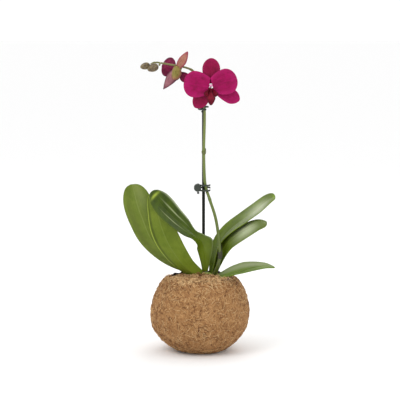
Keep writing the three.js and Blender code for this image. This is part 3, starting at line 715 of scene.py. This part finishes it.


# A path is in shares of the leaf's length, from its base. A patch is its middle, size, colour and strength.
# the pale grey of a painted sheen on the leaves' waxy skin
painted_sheen = (186, 194, 160)
leaves = [
    {
        "name": "leaf_left_outer", "length": 158, "width": 42, "base": (-2, 5, -5.5),
        "path": [(0, 0, 0), (-0.19, 0, 0.1), (-0.31, -0.03, 0.21), (-0.4, -0.07, 0.34), (-0.455, -0.1, 0.48),
            (-0.495, -0.12, 0.6), (-0.52, -0.13, 0.7), (-0.54, -0.14, 0.775)],
        "turn": (50, 62, 70, 72, 72), "side": -1, "widest": 0.74, "base_share": 0.18, "fullness": 2.4,
        "fold": (0.5, 0.25, 0.15, 0.12, 0.1), "slot": "leaf_underside",
        "finish": ((84, 102, 24), (108, 124, 42), (100, 112, 46), (142, 152, 88), 0.5,
           [((0.8, 0.5), (0.18, 0.5), (86, 96, 36), 0.6),
            ((0.3, 0.85), (0.3, 0.3), (132, 142, 84), 0.5)]),
    },
    {
        "name": "leaf_left_inner", "length": 136, "width": 35, "base": (-2, -5, -5.5),
        "path": [(0, 0, 0), (-0.13, -0.06, 0.11), (-0.26, -0.13, 0.3), (-0.34, -0.18, 0.48),
            (-0.385, -0.22, 0.65), (-0.42, -0.24, 0.76), (-0.445, -0.25, 0.835)],
        "turn": (60, 68, 72, 72, 70), "side": -1, "widest": 0.52, "base_share": 0.5, "fullness": 1.9,
        "fold": (0.5, 0.25, 0.15, 0.12, 0.1), "slot": "leaf_underside",
        "finish": ((84, 102, 18), (110, 126, 36), (106, 122, 30), (134, 146, 80), 0.5,
           # The bright yellow-green stripe on one margin is a painted highlight on the lit rolled edge, and
           # the dark line beside it is painted shadow under the roll.
           [((1.0, 0.6), (0.05, 0.9), (176, 192, 70), 1.0),
            ((0.9, 0.5), (0.06, 0.7), (58, 68, 14), 0.75),
            ((0.5, 0.0), (0.6, 0.22), (134, 152, 48), 0.8)]),
    },
    {
        "name": "leaf_centre", "length": 147, "width": 36, "base": (6.5, -2, 1),
        "path": [(0, 0, 0), (0, -0.01, 0.1), (-0.01, -0.04, 0.2), (-0.03, -0.07, 0.275),
            (-0.09, -0.11, 0.335), (-0.17, -0.16, 0.41), (-0.27, -0.22, 0.505),
            (-0.35, -0.26, 0.59), (-0.41, -0.29, 0.665), (-0.465, -0.31, 0.745)],
        "turn": (-75, -70, -38, -38, -44, -50), "side": -1, "widest": 0.76, "base_share": 0.2,
        "fullness": 2.2, "knee": (0.27, 6, 0.02), "waist": (0.4, 0.4, 0.08),
        "fold": (0.2, 0.08, 0.12, 0.2, 0.2), "slot": "leaf_glossy",
        "finish": ((40, 56, 0), (66, 86, 2), (110, 124, 46), (84, 98, 28), 0.14,
           # The lighter lower part is painted light.
           [((0.5, 0.1), (0.9, 0.24), (108, 126, 34), 0.95),
            # The pale band on the far margin is painted sheen, the bright line across the tip is a painted
            # highlight on a lit edge, and the two narrow streaks are painted highlights.
            ((0.98, 0.55), (0.07, 0.45), painted_sheen, 0.8),
            ((0.5, 0.9), (0.5, 0.03), (172, 190, 70), 0.8),
            ((0.68, 0.6), (0.035, 0.2), (168, 178, 130), 0.8),
            ((0.3, 0.58), (0.03, 0.16), (160, 170, 118), 0.8)]),
    },
    {
        "name": "leaf_right_upper", "length": 136, "width": 40, "base": (15.5, 5, -2.5),
        "path": [(0, 0, 0), (0.025, 0.01, 0.11), (0.05, 0.03, 0.23), (0.1, 0.05, 0.33), (0.19, 0.06, 0.43),
            (0.31, 0.06, 0.52), (0.43, 0.06, 0.61), (0.54, 0.06, 0.7), (0.61, 0.05, 0.735)],
        "turn": (-20, -18, -16, -16, -18), "side": 1, "widest": 0.62, "base_share": 0.26, "fullness": 3.0,
        "fold": (0.4, 0.3, 0.15, 0.1, 0.1), "slot": "leaf",
        "finish": ((66, 84, 0), (96, 116, 8), (120, 138, 44), (112, 126, 54), 0.3,
           # The pale patch is painted sheen on the waxy skin.
           [((0.6, 0.7), (0.5, 0.2), painted_sheen, 0.8),
            ((0.5, 0.98), (0.6, 0.08), (120, 150, 30), 0.8)]),
    },
    {
        "name": "leaf_right_lower", "length": 104, "width": 34, "base": (20, 0.5, -2.5),
        "path": [(0, 0, 0), (0.04, 0, 0.13), (0.09, -0.01, 0.27), (0.16, -0.03, 0.39), (0.27, -0.06, 0.49),
            (0.4, -0.09, 0.58), (0.52, -0.11, 0.635), (0.64, -0.13, 0.65)],
        "turn": (-30, -28, -26, -24, -22), "side": 1, "widest": 0.62, "base_share": 0.34, "fullness": 2.6,
        "fold": (0.3, 0.12, 0.02, -0.05, -0.05), "slot": "leaf",
        "finish": ((66, 84, 4), (96, 114, 20), (118, 134, 50), (120, 132, 64), 0.3,
           # The pale patch is painted sheen on the waxy skin.
           [((0.55, 0.62), (0.5, 0.24), painted_sheen, 0.8),
            ((0.5, 0.95), (0.6, 0.12), (112, 124, 72), 0.7)]),
    },
    {
        "name": "leaf_low_right", "length": 83, "width": 28, "base": (18.5, -9, -7),
        "path": [(0, 0, 0), (0.13, -0.06, 0.045), (0.28, -0.1, 0.1), (0.45, -0.13, 0.15), (0.63, -0.16, 0.19),
            (0.79, -0.17, 0.21), (0.94, -0.18, 0.2)],
        "turn": (-18, -20, -20, -18, -14), "side": 1, "widest": 0.5, "base_share": 0.3, "fullness": 1.55,
        "fold": (0.3, 0.3, 0.28, 0.25, 0.2), "slot": "leaf",
        "finish": ((70, 94, 4), (98, 124, 14), (110, 132, 36), (112, 128, 52), 0.3,
           # The pale silvery half is painted sheen, and the darker base is painted shade where the leaf tucks
           # in among the others.
           [((0.2, 0.5), (0.3, 0.9), (146, 154, 120), 0.95),
            ((0.5, 0.0), (0.9, 0.15), (74, 88, 30), 0.8)]),
    },
]
for leaf in leaves:
    scale = leaf["length"] * mm
    start = above_crown(*leaf["base"])
    at = route_through([start + Vector(point) * scale for point in leaf["path"]])

    def upper_side(t, ahead, leaf=leaf):
        back = Vector((0, 1, 0))
        back = (back - ahead * back.dot(ahead)).normalized()
        skyward = ahead.cross(back) * leaf["side"]
        turn = math.radians(listed(leaf["turn"], t))
        return skyward * math.cos(turn) + back * math.sin(turn)

    def half_width(t, s, leaf=leaf):
        half = leaf["width"] / 2 * oval_share(t, leaf["widest"], leaf["base_share"], leaf["fullness"], 1.5)
        if "knee" in leaf:
            knee, jut, fall = leaf["knee"]
            waist, drawn_in, reach = leaf["waist"]
            half *= 1 - drawn_in * math.exp(-(((t - waist) / reach) ** 2))
            if s > 0:
                half += jut * ((t / knee) ** 2 if t < knee else math.exp(-(((t - knee) / fall) ** 2)))
        return half * mm

    strap = blade(
        leaf["name"] + "_blade", at, half_width, upper_side,
        fold=lambda t, leaf=leaf: listed(leaf["fold"], t),
        thickness=1.3 * mm, rows=64, columns=20, midrib=0.5 * mm,
        ripple=lambda t, s, leaf=leaf: 0.35 * mm * noise.noise(Vector((t * 7, s * 1.5, leaf["length"]))),
    )
    strap.data.materials.append(leaf_finish(leaf["name"] + "_skin", *leaf["finish"]))
    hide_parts(leaf["name"])


# ---------------- the flower spike
# The spike grows from the base of the leaves, leans in to the stake, climbs it and arches over to the
# left under its flowers. It is smooth and fleshy, with a slight swelling at each joint.
def stem(name, at, thickness, steps, material):
    """A tapering round stem as a curve piece. `thickness` gives its radius at an even share of its length."""
    curve = bpy.data.curves.new(name, "CURVE")
    curve.dimensions = "3D"
    curve.bevel_depth = 1 * mm
    curve.bevel_resolution = 4
    curve.use_fill_caps = True
    spline = curve.splines.new("POLY")
    spline.points.add(steps)
    for i, knot in enumerate(spline.points):
        knot.co = (*at(i / steps), 1)
        knot.radius = thickness(i / steps) / mm
    spline.use_smooth = True
    piece = add_object(name, curve, material)
    return piece


spike_points = [
    (17, -4, -6), (20, -10, 3), (24, -14, 14), (26, -14, 29), (21, -7, 68), (13, 2, 94), (8, 7, 109),
    (6, 7, 123), (5, 6.2, 158), (6, 6.2, 192), (6, 6.2, 212), (5, 6, 231), (2, 5, 248), (-7, 3, 260),
    (-18, 1, 266), (-44, -1, 271), (-56, -3, 273),
]
spike_route = route_through([above_crown(*point) for point in spike_points])
spike_joints = (0.11, 0.33, 0.52, 0.735, 0.86)


def spike_thickness(share):
    radius = 2.1 - 0.95 * share**1.6
    for joint in spike_joints:
        radius += 0.35 * math.exp(-(((share - joint) / 0.006) ** 2))
    return radius * mm


spike_finish, shader, space = new_finish("spike_skin", 0.42)
fleshy(shader, 0.08, (0.002, 0.003, 0.001))
spike_tone = graded(
    height_share(space),
    [(0.25, (74, 90, 26)), (0.5, (92, 110, 34)), (0.8, (112, 126, 54)), (0.95, (112, 112, 58))],
)
spike_mottle = mottle(scaled(space, (1, 1, 0.25)), 1.5 * mm, 4)
spike_dark = graded(spike_mottle, [(0.42, 0.0), (0.68, 0.35)])
surface(shader, mixed(spike_dark, spike_tone, (96, 84, 60)), spike_mottle, 0.12 * mm)
spike = stem("flower_spike_stem", spike_route, spike_thickness, 220, spike_finish)
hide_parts("flower_spike")

pedicel_routes = {
    "open_flower_pedicel": [(5.3, 6, 228.5), (9, 0, 232.5), (12.5, -7, 238.5), (14, -12.5, 242.5)],
    "rear_flower_pedicel": [(-24.5, 0.6, 266.7), (-24, -2.6, 265.1), (-25.6, -3.8, 263.7),
                            (-27.4, -3.2, 263.3)],
    "lower_bud_pedicel": [(-51, -3.5, 272.1), (-51.4, -7.5, 271.4), (-52.1, -9.2, 269.4)],
    "tip_bud_pedicel": [(-55, -2.5, 272.7), (-59.5, -1.8, 272.6), (-63.3, -2.2, 270.1)],
}
for node, points in pedicel_routes.items():
    at = route_through([above_crown(*point) for point in points])
    stalk = stem(node + "_stalk", at, lambda share: (1.0 + 0.35 * share**2) * mm, 24, spike_finish)
    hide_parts(node)


# ---------------- the sheaths
# A dry papery bract wraps the spike at each of two joints, the lower one darker. Each is a thin sleeve
# with a pointed free tip, cut away on one side.
sheath_finish, shader, space = new_finish("papery_sheath", 0.7)
fibre_lines = mottle(scaled(space, (1, 1, 0.15)), 0.8 * mm, 4)
sheath_dark = graded(fibre_lines, [(0.35, (34, 36, 20)), (0.65, (66, 66, 38))])
sheath_green = graded(fibre_lines, [(0.35, (70, 76, 38)), (0.65, (108, 114, 62))])
sheath_share = graded(height_share(space), [(0.4, 0.0), (0.6, 1.0)])
surface(shader, mixed(sheath_share, sheath_dark, sheath_green), fibre_lines, 0.2 * mm)
for node, start, end in (("lower_sheath", 0.09, 0.145), ("upper_sheath", 0.512, 0.535)):
    sleeve = bmesh.new()
    bmesh.ops.create_cone(sleeve, cap_ends=False, segments=28, radius1=1, radius2=1, depth=2)
    sides = [edge for edge in sleeve.edges if abs(edge.verts[0].co.z - edge.verts[1].co.z) > 1]
    bmesh.ops.subdivide_edges(sleeve, edges=sides, cuts=10)
    for corner in sleeve.verts:
        turn = math.atan2(corner.co.y, corner.co.x)
        share = (corner.co.z + 1) / 2
        tip = 0.45 + 0.55 * (0.5 + 0.5 * math.cos(turn + 2.2)) ** 1.5
        along = start + (end - start) * share * tip
        ahead = heading_on(spike_route, along)
        aside = ahead.cross(Vector((0, 1, 0))).normalized()
        behind = ahead.cross(aside)
        radius = spike_thickness(along) + (0.5 + 0.35 * share) * mm
        corner.co = spike_route(along) + (aside * math.cos(turn) + behind * math.sin(turn)) * radius
    bract = add_object(node + "_bract", finished_mesh(node, sleeve), sheath_finish)
    thicken(bract, 0.3 * mm)
    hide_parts(node)


# ---------------- the flowers
# Two magenta moth orchid flowers: three sepals behind, two broad rounded petals in front, a small
# hooded column, and a darker lip with a jutting middle lobe and two upright side lobes.
def petal_finish(name, deep, main, pale, edge, pale_share):
    """Petal skin: veins that fan from the base, a paler margin and a fine sparkle of cells."""
    material, shader, space = new_finish(name, 0.48, specular=0.15)
    fleshy(shader, 0.12, (0.003, 0.001, 0.002))
    uv, _, along, from_middle = blade_space(shader)
    fan = mottle(scaled(uv, (26, 1.6, 1)), 1, 3, 0.55, 0.35)
    cloud = mottle(space, 7 * mm, 4, 0.6)
    tone = graded(weighed(fan, 0.35, cloud, 0.65), [(0.36, deep), (0.52, main), (0.7, pale)])
    to_edge = sums("MAXIMUM", sums("MULTIPLY", from_middle, 2), along)
    edging = sums("MULTIPLY", graded(to_edge, [(0.55, 0.0), (0.95, 1.0)]), pale_share)
    tone = mixed(edging, tone, edge)
    tone = mixed(graded(from_middle, [(0.0, 0.35), (0.03, 0.0)]), tone, pale)
    cells = mottle(space, 0.35 * mm, 2)
    surface(shader, tone, sums("ADD", fan, sums("MULTIPLY", cells, 0.3)), 0.25 * mm)
    return material


open_petal = petal_finish("magenta_petal", (124, 0, 60), (148, 0, 76), (164, 4, 90), (176, 30, 104), 0.4)
open_sepal = petal_finish("magenta_sepal", (110, 0, 46), (130, 0, 56), (146, 4, 68), (162, 26, 88), 0.3)
rear_petal = petal_finish("rear_petal", (72, 6, 30), (116, 16, 60), (142, 44, 80), (76, 12, 40), 0.4)
rear_sepal = petal_finish("rear_sepal", (136, 88, 72), (162, 108, 92), (180, 130, 112), (140, 28, 70), 0.95)
rear_green = petal_finish(
    "rear_green_sepal", (104, 94, 40), (136, 124, 64), (164, 152, 88), (146, 62, 80), 0.7
)
rear_tip = petal_finish("rear_dark_tip", (132, 84, 92), (152, 100, 108), (170, 122, 126), (74, 22, 46), 0.95)
lip_finish = petal_finish("lip_skin", (64, 0, 14), (110, 4, 30), (140, 22, 50), (56, 0, 20), 0.6)
column_finish, shader, space = new_finish("column_skin", 0.35)
fleshy(shader, 0.25, (0.003, 0.001, 0.002))
surface(shader, graded(mottle(space, 1.6 * mm, 3), [(0.35, (206, 104, 158)), (0.6, (238, 190, 216))]))


def flower_frame(place, facing, roll):
    """The matrix that stands a flower at a place: its face is +Z and its dorsal sepal points to +Y."""
    ahead = Vector(facing).normalized()
    up = Vector((0, 0, 1))
    up = (up - ahead * up.dot(ahead)).normalized()
    up.rotate(Quaternion(ahead, math.radians(roll)))
    right = up.cross(ahead)
    turned = Matrix((right, up, ahead)).transposed().to_4x4()
    return Matrix.Translation(place) @ turned


def tepal(name, stand, shape, material, node):
    """One sepal or petal, from the same sizes as its solid: its own plane is the flower's face."""
    turn = math.radians(shape["angle"])
    out = Vector((math.cos(turn), math.sin(turn), 0))
    points = []
    for share in (0, 0.35, 0.7, 1):
        point = out * (shape["start"] + (shape["length"] - shape["start"]) * share)
        point.z = shape["layer"] + shape["lift"] * share**1.6
        points.append(stand @ (point * mm))
    facing = stand.to_3x3() @ Vector((0, 0, 1))

    def half_width(t, s):
        return shape["width"] / 2 * mm * oval_share(t, shape["widest"], shape["base"], shape["fullness"])

    def ruffle(t, s):
        edge = max(abs(s), t) ** 3
        return shape.get("ruffle", 0.5) * mm * edge * noise.noise(Vector((t * 4, s * 4, turn * 5)))

    piece = blade(
        name, route_through(points), half_width, lambda t, ahead: facing,
        fold=lambda t: shape["cup"], thickness=0.7 * mm, rows=28, columns=20, midrib=0.5 * mm, ripple=ruffle,
    )
    piece.data.materials.append(material)
    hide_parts(node)
    return piece


def column(name, stand, material, node):
    """The column: a stout hooded post with a rounded anther cap and a hollow under its tip."""
    post = bmesh.new()
    bmesh.ops.create_uvsphere(post, u_segments=24, v_segments=16, radius=1)
    for corner in post.verts:
        hood = 1 + 0.35 * max(0, corner.co.z)
        hollow = 0.55 * max(0, corner.co.z) * max(0, -corner.co.y)
        x, y, z = corner.co
        corner.co = Vector((x * 2.0 * hood, y * 2.0 + hollow + 0.5, z * 4.0 + 2.5)) * mm
    post.transform(stand)
    piece = add_object(name, finished_mesh(name, post), material)
    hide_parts(node)


def lip(name, stand, sizes, material, node):
    """The lip: a jutting middle blade and two upright side blades."""
    length, reach, width, spread = sizes
    facing = stand.to_3x3() @ Vector((0, 0.6, 1))
    middle_route = route_through([stand @ (Vector(point) * mm) for point in (
        (0, -2.7, 2.2), (0, -length * 0.4, reach * 0.7),
        (0, -length * 0.8, reach), (0, -length, reach * 0.85))])
    arrow = (0.4, 0.4, 0.6, 1.3, 0.9, 0.3)
    lobes = [blade(
        name + "_middle", middle_route, lambda t, s: width / 2 * mm * max(0.05, listed(arrow, t)),
        lambda t, ahead: facing, fold=lambda t: 0.3, thickness=1.0 * mm, rows=20, columns=12, midrib=0.6 * mm,
    )]
    for hand in (1, -1):
        inward = stand.to_3x3() @ Vector((-hand, 0.3, 0.4))
        side_route = route_through([stand @ (Vector(point) * mm) for point in (
            (hand * 0.8, -3.7, 3), (hand * spread * 0.6, -length * 0.4, reach * 0.8),
            (hand * spread, -length * 0.42, reach * 1.15))])
        lobes.append(blade(
            name + ("_right" if hand > 0 else "_left"), side_route,
            lambda t, s: width * 0.5 * mm * oval_share(t, 0.6, 0.45, 2), lambda t, ahead: inward,
            fold=lambda t: 0.3, thickness=0.9 * mm, rows=14, columns=10, midrib=0.3 * mm,
        ))
    for lobe in lobes:
        lobe.data.materials.append(material)
        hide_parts(node)


def flower(side, stand, tepals, lip_sizes):
    """One flower on its stand: five tepals, a column and a lip."""
    for part_name, material, shape in tepals:
        tepal(f"{side}_{part_name}", stand, shape, material, f"{side}_flower_{part_name}")
    column(f"{side}_column", stand, column_finish, f"{side}_flower_column")
    lip(f"{side}_lip", stand, lip_sizes, lip_finish, f"{side}_flower_lip")


sepal = {"fullness": 1.7, "start": 3, "layer": -1.4, "lift": -2, "cup": 0.12}
petal = {"widest": 0.58, "base": 0.6, "fullness": 2.1, "start": 2, "layer": 1.6, "lift": 1, "cup": 0.05,
         "ruffle": 1.4}
flower("open", flower_frame(above_crown(14, -16, 243), (0, -1, 0), 0), [
    ("dorsal_sepal", open_sepal,
     {**sepal, "length": 35.5, "width": 23, "angle": 89, "widest": 0.58, "base": 0.4, "fullness": 1.9}),
    ("right_lower_sepal", open_petal,
     {**sepal, "length": 41, "width": 19.5, "angle": -27, "widest": 0.68, "base": 0.35, "lift": -3}),
    ("left_lower_sepal", open_sepal,
     {**sepal, "length": 34.5, "width": 20, "angle": -127, "widest": 0.62, "base": 0.5}),
    ("right_petal", open_petal, {**petal, "length": 34.5, "width": 33, "angle": 17}),
    ("left_petal", open_petal, {**petal, "length": 35, "width": 34, "angle": 173}),
], (24, 9, 9, 9))

petal = {"widest": 0.58, "base": 0.2, "fullness": 2.1, "start": 3.5, "layer": 4.6, "cup": 0.12}
flower("rear", flower_frame(above_crown(-29.5, -1.5, 263.5), (0.3, 0.92, -0.2), 22), [
    ("dorsal_sepal", rear_sepal,
     {"length": 27, "width": 12, "angle": 101, "widest": 0.42, "base": 0.6,
      "fullness": 1.35, "start": 3.5, "layer": -2.6, "lift": -3, "cup": 0.22}),
    ("right_lower_sepal", rear_tip,
     {"length": 31, "width": 15, "angle": -76, "widest": 0.36, "base": 0.7,
      "fullness": 1.2, "start": 3.5, "layer": -1.4, "lift": 5, "cup": 0.3}),
    ("left_lower_sepal", rear_green,
     {"length": 14, "width": 14, "angle": -100, "widest": 0.5, "base": 0.5,
      "fullness": 1.9, "start": -4, "layer": -5.2, "lift": 1, "cup": 0.9}),
    ("right_petal", rear_petal, {**petal, "length": 25, "width": 26, "angle": -4, "lift": 4}),
    ("left_petal", rear_petal, {**petal, "length": 17, "width": 13, "angle": 205, "lift": 10}),
], (14, 8, 7, 5))


# ---------------- the buds
# Two closed buds at the tip of the spike, olive and tan. Each is an egg of three sepals whose edges meet
# in shallow seams.
bud_finish, shader, space = new_finish("bud_skin", 0.45)
fleshy(shader, 0.1, (0.002, 0.002, 0.001))
bud_mottle = mottle(space, 3 * mm, 5, 0.65)
bud_tone = graded(bud_mottle, [(0.34, (66, 50, 34)), (0.5, (100, 84, 56)), (0.7, (134, 118, 80))])
surface(shader, bud_tone, bud_mottle, 0.3 * mm)
for node, lean, length, width in (("lower_bud", -112, 15, 10.5), ("tip_bud", -104, 13, 9)):
    low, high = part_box(node)
    egg = bmesh.new()
    bmesh.ops.create_uvsphere(egg, u_segments=48, v_segments=28, radius=1)
    for corner in egg.verts:
        turn = math.atan2(corner.co.y, corner.co.x)
        seam = math.exp(-(((turn * 3 / math.pi + 0.5) % 2 - 1) ** 2) / 0.02)
        slim = 1 - 0.18 * corner.co.z - 0.05 * seam
        x, y, z = corner.co
        corner.co = Vector((x * slim * width / 2, y * slim * width / 2, z * length / 2)) * mm
    egg.transform(Matrix.Rotation(math.radians(lean), 4, "Y"))
    egg.transform(Matrix.Translation((Vector(low) + Vector(high)) / 2))
    closed = add_object(node + "_egg", finished_mesh(node, egg), bud_finish)
    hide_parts(node)


# ---------------- the clips
# Two sprung claw clips of dark green plastic hold the spike to the stake. Each has a jaw with two claws
# and a jaw with one, hinged on a steel pin with a small coil spring, and a plain round pad on each jaw.
clip_finish, shader, space = new_finish("clip_plastic", 0.42)
clip_grain = mottle(space, 0.8 * mm, 3)
surface(shader, graded(clip_grain, [(0.3, (30, 38, 30)), (0.7, (52, 60, 48))]), clip_grain, 0.05 * mm)
steel_finish, shader, space = new_finish("clip_steel", 0.3)
shader.inputs["Metallic"].default_value = 1
brushed = mottle(scaled(space, (1, 1, 8)), 0.5 * mm, 2)
surface(shader, graded(brushed, [(0.3, (58, 60, 60)), (0.7, (96, 98, 98))]))


def eased_copy(node, name, material, ease, body):
    """A CAD node's own shape with its corners merged and its sharp edges eased."""
    part = bmesh.new()
    part.from_mesh(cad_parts[node].data)
    bmesh.ops.remove_doubles(part, verts=part.verts[:], dist=weld)
    bmesh.ops.dissolve_limit(part, angle_limit=math.radians(3), verts=part.verts[:], edges=part.edges[:])
    sharp = [edge for edge in part.edges if edge.is_manifold and edge.calc_face_angle() > math.radians(40)]
    bmesh.ops.bevel(part, geom=sharp, offset=ease, segments=2, profile=0.5, affect="EDGES", material=-1)
    piece = add_object(name, finished_mesh(name, part, smooth=False), material, body)
    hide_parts(node)


jaw_ease = 0.15 * mm
pin_ease = 0.08 * mm
coil_turns = 2
coil_radius = 1.4 * mm
wire = 0.35 * mm
for clip_name in ("lower_clip", "upper_clip"):
    jaws = [clip_name + "_double_jaw", clip_name + "_single_jaw"]
    eased_copy(jaws[0], jaws[0] + "_eased", clip_finish, jaw_ease, clip_name + "_jaw")
    eased_copy(jaws[1], jaws[1] + "_eased", clip_finish, jaw_ease, "planter")
    eased_copy(clip_name + "_hinge_pin", clip_name + "_pin_eased", steel_finish, pin_ease, "planter")
    low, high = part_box(clip_name + "_spring")
    coil_middle = Vector(((low[0] + high[0]) / 2, (low[1] + high[1]) / 2, 0))
    coil_bottom = low[2] + wire
    coil_top = high[2] - wire

    def coil(share):
        turn = share * coil_turns * 2 * math.pi
        place = coil_middle + Vector((math.cos(turn), math.sin(turn), 0)) * coil_radius
        place.z = coil_top + (coil_bottom - coil_top) * share
        return place

    spring = stem(clip_name + "_coil", coil, lambda share: wire, 64, steel_finish)
    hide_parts(clip_name + "_spring")
